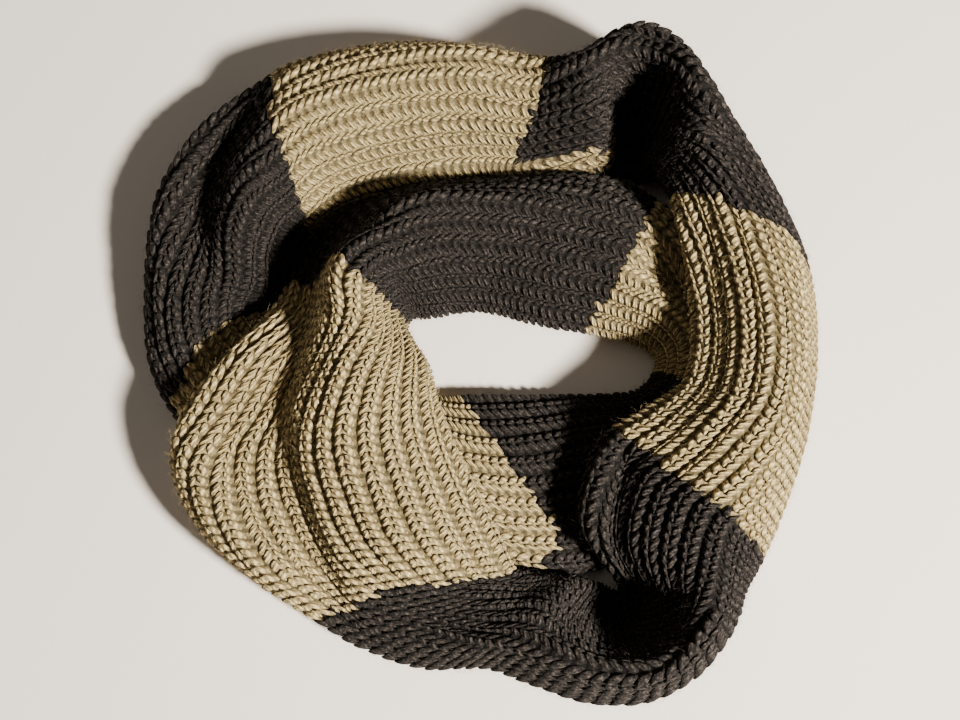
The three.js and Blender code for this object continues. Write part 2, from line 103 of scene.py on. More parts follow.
# The scarf's route: each row is a section across the band, from its outer foot to its inner foot
SECTION_COLUMNS = (
    "outX", "outY", "inX", "inY", "outZ", "inZ", "h1", "h2", "h3", "h4", "h5", "tuckOut", "tuckIn",
)
SECTION_ROWS = (
    ("dark_crown_loop", 153, 40, 89, 65, 0, 44, 56, 71, 80, 80, 74, 10, 2),
    ("dark_crown_loop", 138, 72, 83, 85, 0, 30, 62, 77, 85, 88, 80, 8, 2),
    ("dark_crown_loop", 118, 100, 79, 89, 4, 12, 76, 87, 90, 88, 66, 8, 2),
    ("dark_crown_loop", 103, 123, 77, 91, 8, 2, 86, 90, 80, 46, 22, 8, 1),
    ("dark_crown_loop", 90, 142, 75, 94, 10, 2, 88, 84, 50, 26, 16, 6, 1),
    ("dark_crown_loop", 75, 151, 69, 95, 10, 2, 88, 76, 43, 26, 17, 6, 1),
    ("dark_crown_loop", 60, 148, 62, 96, 8, 2, 84, 76, 48, 30, 19, 8, 1),
    ("dark_crown_loop", 43, 142, 55, 96, 4, 1, 66, 76, 72, 62, 44, 10, 4),
    ("light_top_arc", 28, 147, 20, 94, 0, 0, 48, 60, 58, 46, 30, 14, 18),
    ("light_top_arc", -10, 153, -6, 92, 0, 0, 50, 62, 60, 48, 30, 18, 20),
    ("light_top_arc", -45, 154, -40, 87, 0, 0, 50, 60, 60, 50, 32, 18, 20),
    ("light_top_arc", -80, 148, -70, 78, 0, 0, 50, 58, 60, 54, 36, 16, 18),
    ("dark_left_arc", -106, 138, -87, 67, 0, 0, 50, 54, 60, 56, 42, 16, 18),
    ("dark_left_arc", -138, 114, -95, 56, 0, 0, 50, 42, 52, 60, 47, 16, 16),
    ("dark_left_arc", -158, 82, -99, 44, 0, 0, 48, 42, 46, 56, 45, 16, 16),
    ("dark_left_arc", -164, 44, -103, 33, 0, 0, 44, 42, 47, 48, 38, 16, 18),
    ("light_under_pass", -160, -8, -110, 22, 0, 0, 32, 36, 36, 32, 24, 22, 24),
    ("light_under_pass", -132, -46, -88, 4, 0, 0, 22, 26, 26, 25, 20, 34, 36),
    ("light_under_pass", -84, -74, -54, -12, 0, 0, 20, 25, 26, 25, 20, 36, 38),
    ("light_under_pass", -22, -88, -28, -22, 0, 0, 20, 27, 29, 27, 20, 34, 36),
    ("dark_inner_bottom", 34, -103, -6, -22, 0, 0, 20, 25, 30, 28, 22, 34, 36),
    ("dark_inner_bottom", 76, -91, 38, -22, 0, 0, 20, 25, 30, 30, 22, 34, 36),
    ("dark_inner_bottom", 110, -70, 72, -20, 0, 0, 24, 30, 30, 30, 24, 26, 26),
    ("light_inner_right", 126, -32, 84, -10, 0, 0, 32, 36, 26, 36, 32, 12, 14),
    ("light_inner_right", 128, 10, 84, 2, 0, 0, 34, 36, 24, 38, 34, 12, 14),
    ("light_inner_right", 110, 50, 70, 10, 0, 0, 34, 38, 28, 40, 34, 14, 16),
    ("dark_inner_top", 82, 77, 52, 14, 0, 0, 36, 44, 44, 42, 32, 20, 22),
    ("dark_inner_top", 55, 87, 28, 18, 0, 0, 40, 48, 46, 44, 34, 20, 24),
    ("dark_inner_top", 5, 86, -2, 25, 0, 0, 42, 52, 52, 48, 36, 20, 20),
    ("dark_inner_top", -42, 80, -28, 22, 0, 0, 42, 58, 60, 56, 42, 16, 16),
    ("dark_inner_top", -82, 62, -37, 21, 0, 0, 18, 34, 68, 68, 50, 12, 12),
    ("light_left_over", -94, 42, -41, 12, 2, 6, 20, 32, 74, 78, 60, 6, 8),
    ("light_left_over", -99, 18, -36, 0, 30, 26, 42, 50, 74, 78, 64, 4, 2),
    ("light_left_over", -120, -10, -29, -12, 41, 36, 58, 57, 66, 78, 67, 2, 2),
    ("light_left_over", -140, -36, -25, -28, 32, 38, 50, 49, 64, 77, 69, 2, 2),
    ("light_left_over", -144, -60, -17, -48, 14, 38, 48, 46, 63, 75, 69, 2, 2),
    ("light_left_over", -131, -86, -5, -72, 4, 38, 48, 46, 62, 73, 67, 4, 2),
    ("light_left_over", -108, -106, 4, -90, 0, 36, 46, 46, 60, 70, 62, 10, 2),
    ("dark_bottom_cup", -85, -121, 12, -105, 0, 30, 36, 44, 52, 60, 52, 12, 2),
    ("dark_bottom_cup", -60, -136, 20, -108, 0, 20, 34, 44, 50, 56, 46, 14, 4),
    ("dark_bottom_cup", -30, -146, 30, -110, 0, 8, 42, 52, 56, 55, 42, 14, 6),
    ("dark_bottom_cup", 0, -146, 43, -110, 0, 4, 54, 63, 62, 52, 38, 12, 4),
    ("dark_bottom_cup", 24, -154, 53, -112, 4, 2, 66, 72, 56, 30, 18, 8, 1),
    ("dark_bottom_cup", 48, -161, 59, -114, 6, 2, 74, 74, 44, 20, 14, 8, 1),
    ("dark_bottom_cup", 74, -160, 64, -115, 6, 2, 74, 72, 40, 18, 14, 8, 1),
    ("dark_bottom_cup", 96, -148, 66, -112, 6, 2, 72, 72, 44, 24, 18, 8, 1),
    ("dark_bottom_cup", 111, -130, 62, -105, 4, 8, 68, 72, 54, 40, 34, 8, 1),
    ("dark_bottom_cup", 118, -113, 45, -82, 0, 34, 64, 70, 64, 58, 56, 10, 2),
    ("light_right_arc", 127, -98, 53, -48, 0, 38, 58, 70, 68, 60, 57, 10, 2),
    ("light_right_arc", 139, -72, 73, -34, 0, 44, 56, 72, 74, 70, 60, 10, 2),
    ("light_right_arc", 150, -40, 93, -18, 0, 46, 56, 74, 78, 74, 64, 10, 2),
    ("light_right_arc", 156, 0, 96, 20, 0, 46, 56, 74, 80, 76, 64, 10, 2),
)

# How far each stretch's first seam leans along the band, in millimetres, at SEAM_PLACES across it.
# Some lie closer to the photograph than the solids' seams do.
SEAM_PLACES = (0.15, 0.35, 0.55, 0.72, 0.8)
SEAM_ROWS = (
    ("dark_crown_loop", -8, -6, -3, 0, 4),
    ("light_top_arc", -10, -8, -2, 6, -38),
    ("dark_left_arc", 0, 0, 2, 4, 6),
    ("light_under_pass", 34, 12, 0, 0, 0),
    ("dark_inner_bottom", -30, 7, 1, -9, -18),
    ("dark_inner_top", -6, -4, -1, 0, 0),
    ("light_left_over", 4, -10, -6, -5, -5),
    ("dark_bottom_cup", 4, 2, -5, -2, 0),
    ("light_right_arc", -4, -2, 2, 5, 8),
)

# The main folds along the ribs. Each starts and ends at a share of its stretch, lies at a share of the way
# across at its start, middle and end, and has the width of its outer and inner slopes and its depth.
CREASE_COLUMNS = ("stretch", "from", "to", "place1", "place2", "place3", "out_wide", "in_wide", "deep")
CREASE_ROWS = (
    ("light_left_over", 0, 1.15, 0.2, 0.44, 0.05, 15, 6, 9),
    ("dark_left_arc", -0.1, 0.95, 0.12, 0.33, 0.76, 14, 14, 9),
    ("light_top_arc", -0.25, 1.05, 0.87, 0.84, 0.95, 4, 6, 6),
    ("dark_bottom_cup", 0.6, 1.08, 0.88, 0.81, 0.9, 8, 7, 10),
    ("light_right_arc", -0.1, 1.1, 0.62, 0.6, 0.66, 4, 4, 2.5),
    ("light_right_arc", -0.1, 1.1, 0.8, 0.77, 0.87, 4, 4, 3),
)
CREASE_RUN_IN = 2.5

# Slighter troughs and ridges that only the knit itself shows, in the same columns (below zero rises)
SOFT_CREASE_ROWS = (
    ("light_top_arc", -0.1, 1.1, 0.3, 0.36, 0.3, 5, 5, 1.6),
    ("light_top_arc", 0.1, 1.1, 0.6, 0.58, 0.66, 5, 4, 1.8),
    ("dark_inner_top", -0.2, 0.8, 0.34, 0.42, 0.4, 5, 5, 1.8),
    ("dark_inner_top", 0.1, 1.1, 0.66, 0.6, 0.62, 5, 5, 1.6),
    ("light_left_over", 0.1, 1.1, 0.7, 0.72, 0.66, 6, 6, 1.8),
    ("light_left_over", 0.3, 1.2, 0.2, 0.22, 0.1, 6, 5, 2.2),
    ("dark_crown_loop", -0.1, 0.4, 0.5, 0.5, 0.5, 5, 5, 1.6),
    ("dark_bottom_cup", 0.1, 0.6, 0.4, 0.4, 0.3, 6, 6, 1.8),
    ("light_under_pass", 0.1, 0.9, 0.6, 0.5, 0.6, 5, 5, 1.4),
)

# Loose fibres, in millimetres. Their slant off the cloth, bend and stray are shares of their length.
FUZZ_PER_MM = 12
FUZZ_INSET = 2
FUZZ_LENGTH = (1.5, 4.8)
FUZZ_WIDTH = 0.08
FUZZ_SIDES = 3
FUZZ_TIP = 0.12
FUZZ_ROOT_LIFT = 0.8
FUZZ_SLANT = (0.15, 1.0)
FUZZ_BEND = 0.35
FUZZ_STRAY = 0.3
FUZZ_LOOK_AHEAD = 2
FUZZ_FLOOR = 0.2
FUZZ_FIRST_SEED = 100

# Keeps a fibre's side from vanishing where the fibre stands straight up
NUDGE = 0.01

# Heathered yarn: the fineness of its flecks and patches, and the spans of the noise over which each turns on
HEATHER_INPUTS = (
    ("Fibre", "NodeSocketColor"),
    ("Deep Fibre", "NodeSocketColor"),
    ("Pale Fibre", "NodeSocketColor"),
    ("Fleck Scale", "NodeSocketFloat"),
    ("Pale Share", "NodeSocketFloat"),
)
FLECK_SCALE = 900
FLECK_DETAIL = 3
FLECK_ROUGHNESS = 0.65
PATCH_SCALE = 60
PATCH_DETAIL = 2
PATCH_SPAN = (0.3, 0.7)
PALE_SPAN = (0.48, 0.64)
DARK_SPAN = (0.34, 0.5)
DARK_FLECK = 0.5

# Reliefs: the strength of each and its depth in millimetres
FIBRE_RELIEF = (0.5, 0.4)
PLY_RELIEF = (0.8, 0.6)
PURL_RELIEF = (1.0, 1.0)

# Yarn twist on each stitch leg, with painted shade in its grooves and a painted highlight on its crests, and
# the painted shade at the leg's two ends, where they pass under neighbours
PLY_TURNS = 0.9
PLY_SLANT = 50
PLY_DISTORTION = 0.6
PLY_GROOVE_PAINTED_SHADE = 0.48
PLY_CREST_PAINTED_HIGHLIGHT = 1.25
LEG_END_SPAN = (0.04, 0.3)
LEG_END_PAINTED_SHADE = 0.56

# The cloth behind the stitches: its painted shade all over, between its purl bars and down in its valleys
BACK_PAINTED_SHADE = 0.6
PURL_SPAN = (0.05, 0.4)
PURL_GAP_PAINTED_SHADE = 0.42
VALLEY_SPAN = (0.0, 0.3)
VALLEY_PAINTED_SHADE = 0.6

WOOL_ROUGHNESS = 0.92
WOOL_SPECULAR = 0.15
SHEEN_ROUGHNESS = 0.5

# The two yarns, by the first word of a stretch's name
YARNS = {
    "dark": {
        "slot": "charcoal_knit",
        "fibre": (0.0195, 0.016, 0.0136, 1),
        "deep": (0.0105, 0.0088, 0.008, 1),
        "pale": (0.084, 0.067, 0.056, 1),
        "pale_share": 0.75,
        "fuzz_shade": 2.6,
        "sheen": 0.03,
        "sheen_tint": (0.75, 0.68, 0.6, 1),
    },
    "light": {
        "slot": "oatmeal_knit",
        "fibre": (0.49, 0.369, 0.172, 1),
        "deep": (0.35, 0.252, 0.108, 1),
        "pale": (0.68, 0.548, 0.285, 1),
        "pale_share": 0.6,
        "fuzz_shade": 1.1,
        "sheen": 0.05,
        "sheen_tint": (0.95, 0.88, 0.76, 1),
    },
}

# Floor and room
FLOOR_SIZE = 3.0
FLOOR_ROUGHNESS = 0.75
FLOOR_COLOR = (0.845, 0.765, 0.675, 1)
ROOM_COLOR = (1.0, 0.92, 0.83, 1)
ROOM_STRENGTH = 0.085

# Lights: name, azimuth and elevation in degrees, distance and size in metres, power in watts and colour
LIGHT_ROWS = (
    ("key", -33, 49, 1.6, 0.2, 97, (1.0, 0.955, 0.885)),
    ("fill", 150, 60, 2.0, 1.6, 3, (1.0, 0.95, 0.88)),
)

# Camera: elevation in degrees, distance and aim in metres, lens and sensor in millimetres
CAMERA_ELEVATION = 80
CAMERA_DISTANCE = 0.650
CAMERA_LENS = 48.75
CAMERA_SENSOR = 36
CAMERA_AIM = (0.001, 0.004, 0.0)


def smooth_step(x):
    """Rises from 0 to 1 with a level start and end."""
    x = np.clip(x, 0.0, 1.0)
    return x * x * (3 - 2 * x)


def cubic(p0, p1, p2, p3, x0, x1, x2, x3, x):
    """A cubic through p1 and p2 at uneven places, with p0 and p3 as their neighbours."""
    span = x2 - x1
    share = (x - x1) / span
    slope1 = (p2 - p0) / (x2 - x0) * span
    slope2 = (p3 - p1) / (x3 - x1) * span
    s2 = share * share
    s3 = s2 * share
    return (
        (2 * s3 - 3 * s2 + 1) * p1
        + (s3 - 2 * s2 + share) * slope1
        + (3 * s2 - 2 * s3) * p2
        + (s3 - s2) * slope2
    )


# The route as numbers, and how far along the band each section lies
SECTIONS = np.array([row[1:] for row in SECTION_ROWS], float)
STRETCHES = [row[0] for row in SECTION_ROWS]
NAMES = list(dict.fromkeys(STRETCHES))
MIDDLES = (SECTIONS[:, 0:2] + SECTIONS[:, 2:4]) / 2
GAPS = np.linalg.norm(np.roll(MIDDLES, -1, axis=0) - MIDDLES, axis=1)
ALONG = np.concatenate([[0.0], np.cumsum(GAPS)])
BAND_LENGTH = float(ALONG[-1])
ROW_PITCH = BAND_LENGTH / round(BAND_LENGTH / STITCH_PITCH)


def section_at(distance):
    """The table's columns at a distance along the band."""
    count = len(SECTIONS)
    d = distance % BAND_LENGTH
    i = int(np.searchsorted(ALONG, d, side="right")) - 1
    near = [i + k for k in (-1, 0, 1, 2)]
    rows = [SECTIONS[n % count] for n in near]
    places = [ALONG[n % count] + math.floor(n / count) * BAND_LENGTH for n in near]
    section = dict(zip(SECTION_COLUMNS, cubic(*rows, *places, d)))
    section["chord"] = math.hypot(section["inX"] - section["outX"], section["inY"] - section["outY"])
    section["distance"] = d
    return section


def stretch_span(name):
    """Where a stretch starts and ends along the band."""
    first = STRETCHES.index(name)
    last = first + STRETCHES.count(name)
    return float(ALONG[first]), float(ALONG[last])


def seam_lean(stretch, across):
    """How far a stretch's first seam leans along the band at shares of the cloth's width."""
    for row in SEAM_ROWS:
        if row[0] == stretch:
            leans = np.array(row[1:], float)
            places = np.array(SEAM_PLACES)
            i = np.clip(np.searchsorted(places, across, side="right") - 1, 0, len(places) - 2)
            share = (across - places[i]) / (places[i + 1] - places[i])
            return leans[i] + (leans[i + 1] - leans[i]) * smooth_step(share)
    return np.zeros_like(across)


def leaning_span(stretch, across):
    """Distances of a stretch's two seams at shares of the cloth's width."""
    start, end = stretch_span(stretch)
    after = NAMES[(NAMES.index(stretch) + 1) % len(NAMES)]
    return start + seam_lean(stretch, across), end + seam_lean(after, across)


def crease_depth(section, share):
    """How far the folds sink the cloth at shares of the way across a section."""
    depth = np.zeros_like(share)
    for row in CREASE_ROWS + SOFT_CREASE_ROWS:
        crease = dict(zip(CREASE_COLUMNS, row))
        start, end = stretch_span(crease["stretch"])
        middle = start + (end - start) * (crease["from"] + crease["to"]) / 2
        half = (end - start) * (crease["to"] - crease["from"]) / 2
        past = section["distance"] - middle + BAND_LENGTH / 2
        away = (past % BAND_LENGTH - BAND_LENGTH / 2) / half
        if abs(away) < 1:
            place = (
                crease["place1"] * away * (away - 1) / 2
                + crease["place2"] * (1 - away * away)
                + crease["place3"] * away * (away + 1) / 2
            )
            offset = (share - place) * section["chord"]
            slope = offset / np.where(offset < 0, crease["out_wide"], crease["in_wide"])
            fade = smooth_step((1 - abs(away)) * CREASE_RUN_IN)
            depth += crease["deep"] * fade * np.exp(-slope * slope)
    return depth


def arch_height(section, share):
    """Height of the cloth at shares of the way from the outer foot to the inner one."""
    heights = np.array([section[name] for name in HEIGHT_COLUMNS])
    last = len(heights) - 1

    def near(k):
        return heights[np.clip(k, 0, last)]

    x = np.clip((share - HEIGHT_PLACES[0]) / (HEIGHT_PLACES[1] - HEIGHT_PLACES[0]), 0, last)
    i = np.minimum(last - 1, x.astype(int))
    height = cubic(near(i - 1), near(i), near(i + 1), near(i + 2), i - 1, i, i + 1, i + 2, x)
    return height - crease_depth(section, share)


def section_line(section):
    """Points (t, z) of the cloth in a section's plane, from the outer selvedge to the inner one."""
    chord = section["chord"]
    out_z = max(0, section["outZ"]) + FLOOR_LIFT
    in_z = max(0, section["inZ"]) + FLOOR_LIFT
    out_radius = min(FOOT_RADIUS, (section["h1"] - out_z) * FOOT_SHARE)
    in_radius = min(FOOT_RADIUS, (section["h5"] - in_z) * FOOT_SHARE)
    shoulder = min(SHOULDER, chord * SHOULDER_SHARE)

    # The outer foot, the arch and the inner foot
    turn = np.linspace(0, math.pi / 2, CORNER_STEPS + 1)
    outer = np.stack([out_radius * (1 - np.sin(turn)), out_z + out_radius * (1 - np.cos(turn))], 1)
    share = (1 - np.cos(np.linspace(0, math.pi, ARCH_STEPS + 1)[1:-1])) / 2
    side = np.clip(chord * np.minimum(share, 1 - share) / shoulder, 0, 1)
    foot = (out_z + out_radius) * (1 - share) + (in_z + in_radius) * share
    rise = np.sqrt(1 - (1 - side) ** 2)
    arch = np.stack([chord * share, foot + (arch_height(section, share) - foot) * rise], 1)
    inner = np.stack([chord - in_radius * (1 - np.cos(turn)), in_z + in_radius * (1 - np.sin(turn))], 1)

    # The cloth tucked under at each end
    lap = min(1.0, max(0.0, section["tuckIn"] / LAP_RUN))
    tuck = [[chord - in_radius - LAP_RUN * lap, in_z + LAP_RISE * lap]]
    if lap == 1:
        tuck.append([chord - in_radius - section["tuckIn"], in_z + LAP_RISE])
    start = [[out_radius + section["tuckOut"], out_z]]
    return np.concatenate([start, outer, arch, inner, tuck])


def cloth_row(distance):
    """Places evenly spaced across the cloth at one distance along the band, its width and its two tucks."""
    section = section_at(distance)
    chord = section["chord"]
    line = section_line(section)
    length = np.concatenate([[0.0], np.cumsum(np.linalg.norm(np.diff(line, axis=0), axis=1))])
    wanted = np.linspace(0, length[-1], RIB_COUNT * PLACES_PER_RIB + 1)
    t = np.interp(wanted, length, line[:, 0])
    z = np.interp(wanted, length, line[:, 1])
    along_x = (section["inX"] - section["outX"]) / chord
    along_y = (section["inY"] - section["outY"]) / chord
    x = section["outX"] + along_x * t - RING_MIDDLE[0]
    y = section["outY"] + along_y * t - RING_MIDDLE[1]
    return np.stack([x, y, z], 1), length[-1], section["tuckOut"], section["tuckIn"]


def rib_profile(across):
    """How far a rib stands up at a place across the cloth: 0 in the valleys and 1 on the crests."""
    return np.abs(np.sin(np.pi * across * RIB_COUNT)) ** RIB_ROUNDNESS


def unit(vectors):
    """Vectors along the last axis, each brought to length 1."""
    return vectors / np.linalg.norm(vectors, axis=-1, keepdims=True)


class Cloth:
    """The whole band as a fine grid of points and outward normals, looked up by distance and share across."""

    def __init__(self):
        self.rows = int(round(BAND_LENGTH / ROW_STEP))
        self.step = BAND_LENGTH / self.rows
        made = [cloth_row(i * self.step) for i in range(self.rows)]
        self.points = np.array([m[0] for m in made])
        self.width = np.array([m[1] for m in made])
        self.tuck_out = np.array([m[2] for m in made])
        self.tuck_in = np.array([m[3] for m in made])
        self.normals = self.find_normals()

    def find_normals(self):
        """Outward normals of the grid, softened over their neighbours."""
        forward = np.roll(self.points, -1, axis=0) - np.roll(self.points, 1, axis=0)
        sideways = np.gradient(self.points, axis=1)
        normals = unit(np.cross(forward, sideways))
        for _ in range(NORMAL_PASSES):
            normals[:, 1:-1] = (normals[:, :-2] + 2 * normals[:, 1:-1] + normals[:, 2:]) / 4
            normals = (np.roll(normals, 1, axis=0) + 2 * normals + np.roll(normals, -1, axis=0)) / 4
        return unit(normals)

    def look_up(self, distance, across):
        """Points and normals at arrays of distances and shares across."""
        row = (np.asarray(distance) / self.step) % self.rows
        place = np.clip(across, 0, 1) * (self.points.shape[1] - 1)
        i = np.floor(row).astype(int) % self.rows
        j = np.minimum(np.floor(place).astype(int), self.points.shape[1] - 2)
        u = (row - np.floor(row))[..., None]
        v = (place - j)[..., None]
        after = (i + 1) % self.rows

        def blend(grid):
            low = grid[i, j] * (1 - v) + grid[i, j + 1] * v
            high = grid[after, j] * (1 - v) + grid[after, j + 1] * v
            return low * (1 - u) + high * u

        return blend(self.points), unit(blend(self.normals))

    def raised(self, distance, across, lift):
        """Points lifted off the middle of the cloth, kept above the floor."""
        point, normal = self.look_up(distance, across)
        point = point + normal * np.asarray(lift)[..., None]
        point[..., 2] = np.maximum(point[..., 2], 0.0)
        return point

    def row_index(self, distance):
        """The grid row just before a distance along the band."""
        return np.floor(np.asarray(distance) / self.step).astype(int) % self.rows

    def shown_span(self, distance):
        """The shares across between which the cloth isn't tucked under."""
        i = self.row_index(distance)
        return self.tuck_out[i] / self.width[i], 1 - self.tuck_in[i] / self.width[i]


def new_piece(name, mesh):
    """A visible piece of the scarf, with its material slot."""
    piece = bpy.data.objects.new(name, mesh)
    bpy.context.scene.collection.objects.link(piece)
    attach(piece, "root")
    return piece


def shade_smooth(mesh):
    """Smooth shading on every face."""
    mesh.polygons.foreach_set("use_smooth", np.ones(len(mesh.polygons), bool))
    mesh.update()


def add_shell(cloth, stretch, material):
    """The knitted cloth of one stretch as a thin ribbed wall that takes the place of its solid."""
    start, end = stretch_span(stretch)
    across_cells = RIB_COUNT * SHELL_CELLS_PER_RIB
    along_cells = max(SHELL_LEAST_CELLS, round((end - start) / SHELL_CELL_LENGTH))
    work = bmesh.new()
    bmesh.ops.create_grid(work, x_segments=along_cells, y_segments=across_cells, size=0.5)
    flat = np.array([v.co[:2] for v in work.verts]) + 0.5
    across = flat[:, 1]
    seam_start, seam_end = leaning_span(stretch, across)
    first = seam_start + SEAM_GAP / 2
    distance = first + flat[:, 0] * (seam_end - SEAM_GAP / 2 - first)
    point, _ = cloth.look_up(distance, across)
    fade = smooth_step((point[:, 2] - RIB_FADE_HEIGHT) / RIB_FADE_RUN)
    placed = cloth.raised(distance, across, SHELL_LIFT + rib_profile(across) * SHELL_RIB * fade)
    for vertex, place in zip(work.verts, placed * MM):
        vertex.co = place
    mesh = bpy.data.meshes.new(stretch + "_cloth")
    work.to_mesh(mesh)
    work.free()

    # A UV map that counts rows along the band and ribs across it
    corners = np.zeros(len(mesh.loops), int)
    mesh.loops.foreach_get("vertex_index", corners)
    counts = np.stack([distance / ROW_PITCH, across * RIB_COUNT], 1)
    knit = mesh.uv_layers.new(name="knit")
    knit.data.foreach_set("uv", counts[corners].ravel())

    shade_smooth(mesh)
    mesh.materials.append(material)
    piece = new_piece(stretch + "_cloth", mesh)
    wall = piece.modifiers.new("wall", "SOLIDIFY")
    wall.thickness = SHELL_WALL * MM
    wall.offset = -1
    wall.use_rim = True
    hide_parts(stretch)
    return piece


def laid_template(work):
    """The points of a small upright shape, laid along x from 0 to 1, and its faces."""
    work.verts.index_update()
    points = np.array([v.co for v in work.verts])[:, [2, 0, 1]]
    faces = [[v.index for v in face.verts] for face in work.faces]
    work.free()
    points[:, 0] += 0.5
    return points, faces


def leg_template():
    """One leg of a knit stitch: a plump grain with its root at 0 and its tip at 1."""
    work = bmesh.new()
    bmesh.ops.create_uvsphere(work, u_segments=LEG_SIDES, v_segments=LEG_RINGS, radius=0.5)
    return laid_template(work)


def joined_mesh(name, points, faces, copies, shades, turns=None):
    """Many copies of a small shape as one mesh, with a shade for each copy and turns round its length."""
    per_copy = len(points) // copies
    loops = np.array([len(f) for f in faces])
    corners = np.concatenate(faces)
    mesh = bpy.data.meshes.new(name)
    mesh.vertices.add(len(points))
    mesh.vertices.foreach_set("co", (points * MM).ravel())
    offset = np.repeat(np.arange(copies) * per_copy, len(corners))
    mesh.loops.add(len(corners) * copies)
    mesh.loops.foreach_set("vertex_index", np.tile(corners, copies) + offset)
    starts = np.concatenate([[0], np.cumsum(loops)[:-1]])
    copy_starts = np.repeat(np.arange(copies) * len(corners), len(loops))
    mesh.polygons.add(len(loops) * copies)
    mesh.polygons.foreach_set("loop_start", np.tile(starts, copies) + copy_starts)
    mesh.update(calc_edges=True)
    shade = mesh.attributes.new("shade", "FLOAT", "POINT")
    shade.data.foreach_set("value", np.repeat(shades, per_copy))
    if turns is not None:
        ply = mesh.uv_layers.new(name="ply")
        ply.data.foreach_set("uv", np.tile(turns[corners], (copies, 1)).ravel())
    shade_smooth(mesh)
    return mesh


def stitch_places(cloth, stretch):
    """The row, rib and side of every stitch leg that shows on one stretch, as three lists."""
    ribs = np.arange(RIB_COUNT) + 0.5
    start, end = leaning_span(stretch, ribs / RIB_COUNT)
    rows = []
    sides = []
    for row in range(round(start.min() / ROW_PITCH) - 1, round(end.max() / ROW_PITCH) + 2):
        place = row * ROW_PITCH
        low, high = cloth.shown_span(place)
        shown = (place >= start) & (place < end) & (ribs / RIB_COUNT > low) & (ribs / RIB_COUNT < high)
        for rib in ribs[shown]:
            rows += [(row, rib), (row, rib)]
            sides += [-1, 1]
    rows = np.array(rows)
    return rows[:, 0], rows[:, 1], np.array(sides)


def add_stitches(cloth, stretch, material, seed):
    """The knit stitches on the outside of one stretch: two legs for each stitch, in a V that opens onward."""
    rng = np.random.default_rng(seed)
    template, faces = leg_template()
    row, rib, side = stitch_places(cloth, stretch)
    copies = len(row)
    wobble = rng.normal(0, LEG_WOBBLE, (copies, 5))
    thicker, longer, onward, sideways, higher = (wobble[:, k : k + 1] for k in range(5))
    x = template[None, :, 0]
    length = LEG_LENGTH * (1 + WOBBLE_SIZE * longer)
    distance = (row[:, None] - LEG_OVERLAP) * ROW_PITCH + onward + x * length
    rib_width = cloth.width[cloth.row_index(distance)] / RIB_COUNT
    lean = LEG_ROOT + (LEG_TIP - LEG_ROOT) * x
    thick = LEG_WIDTH * np.minimum(1, rib_width / RIB_PITCH) / rib_width
    off_rib = side[:, None] * lean + template[None, :, 1] * thick * (1 + WOBBLE_SIZE * thicker)
    across = (rib[:, None] + off_rib + WOBBLE_ACROSS * sideways) / RIB_COUNT
    dome = LEG_CROWN * np.cos(np.pi * np.clip(off_rib, -0.5, 0.5))
    lift = LEG_LIFT + dome + LEG_DIP * (0.5 - x) + template[None, :, 2] * LEG_DEPTH + WOBBLE_LIFT * higher
    points = cloth.raised(distance, across, lift)
    turns = np.stack([template[:, 0], np.arctan2(template[:, 2], template[:, 1]) / (2 * np.pi)], 1)
    name = stretch + "_stitches"
    mesh = joined_mesh(name, points.reshape(-1, 3), faces, copies, rng.random(copies), turns)
    mesh.materials.append(material)
    return new_piece(name, mesh)


def fibre_template():
    """One loose fibre: a thin taper from 0 to 1, with a joint halfway so that it can bend."""
    work = bmesh.new()
    bmesh.ops.create_cone(work, cap_ends=False, segments=FUZZ_SIDES, radius1=0.5, radius2=FUZZ_TIP, depth=1.0)
    long_edges = [e for e in work.edges if abs(e.verts[0].co.z - e.verts[1].co.z) > 0.5]
    bmesh.ops.subdivide_edges(work, edges=long_edges, cuts=1)
    return laid_template(work)


def add_fuzz(cloth, stretch, material, seed):
    """Loose wool fibres that stand off one stretch."""
    rng = np.random.default_rng(seed)
    first, last = stretch_span(stretch)
    copies = int((last - first) * FUZZ_PER_MM)

    # Where each fibre is rooted, clear of the tucked edges and of the leaning seams
    along = rng.random(copies)
    low, high = cloth.shown_span(first + along * (last - first))
    across = low + (high - low) * rng.random(copies)
    start, end = leaning_span(stretch, across)
    distance = start + FUZZ_INSET + along * (end - start - 2 * FUZZ_INSET)
    base, normal = cloth.look_up(distance, across)
    ahead, _ = cloth.look_up(distance + FUZZ_LOOK_AHEAD, across)

    # Which way it heads and bends
    forward = unit(ahead - base)
    sideways = np.cross(normal, forward)
    turn = rng.uniform(0, 2 * np.pi, copies)[:, None]
    lie = forward * np.cos(turn) + sideways * np.sin(turn)
    slant = rng.uniform(*FUZZ_SLANT, copies)[:, None]
    heading = unit(normal * slant + lie)
    bend = np.cross(heading, lie + FUZZ_STRAY * rng.normal(0, 1, (copies, 3)))
    length = rng.uniform(*FUZZ_LENGTH, copies)[:, None, None]
    side_a = unit(np.cross(heading, normal + NUDGE))
    side_b = np.cross(heading, side_a)

    template, faces = fibre_template()
    x = template[None, :, 0:1]
    points = (
        (base + normal * (WALL / 2 + RIB_RISE + FUZZ_ROOT_LIFT))[:, None, :]
        + heading[:, None, :] * x * length
        + bend[:, None, :] * x * x * length * FUZZ_BEND
        + side_a[:, None, :] * template[None, :, 1:2] * FUZZ_WIDTH
        + side_b[:, None, :] * template[None, :, 2:3] * FUZZ_WIDTH
    )
    points[:, :, 2] = np.maximum(points[:, :, 2], FUZZ_FLOOR)
    name = stretch + "_fuzz"
    mesh = joined_mesh(name, points.reshape(-1, 3), faces, copies, rng.random(copies))
    mesh.materials.append(material)
    return new_piece(name, mesh)


def link(tree, source, target):
    """Joins an output socket to an input socket."""
    tree.links.new(source, target)


def color_mixer(tree, first, second):
    """A node that mixes two colours."""
    mixer = tree.nodes.new("ShaderNodeMix")
    mixer.data_type = "RGBA"
    link(tree, first, mixer.inputs["A"])
    link(tree, second, mixer.inputs["B"])
    return mixer


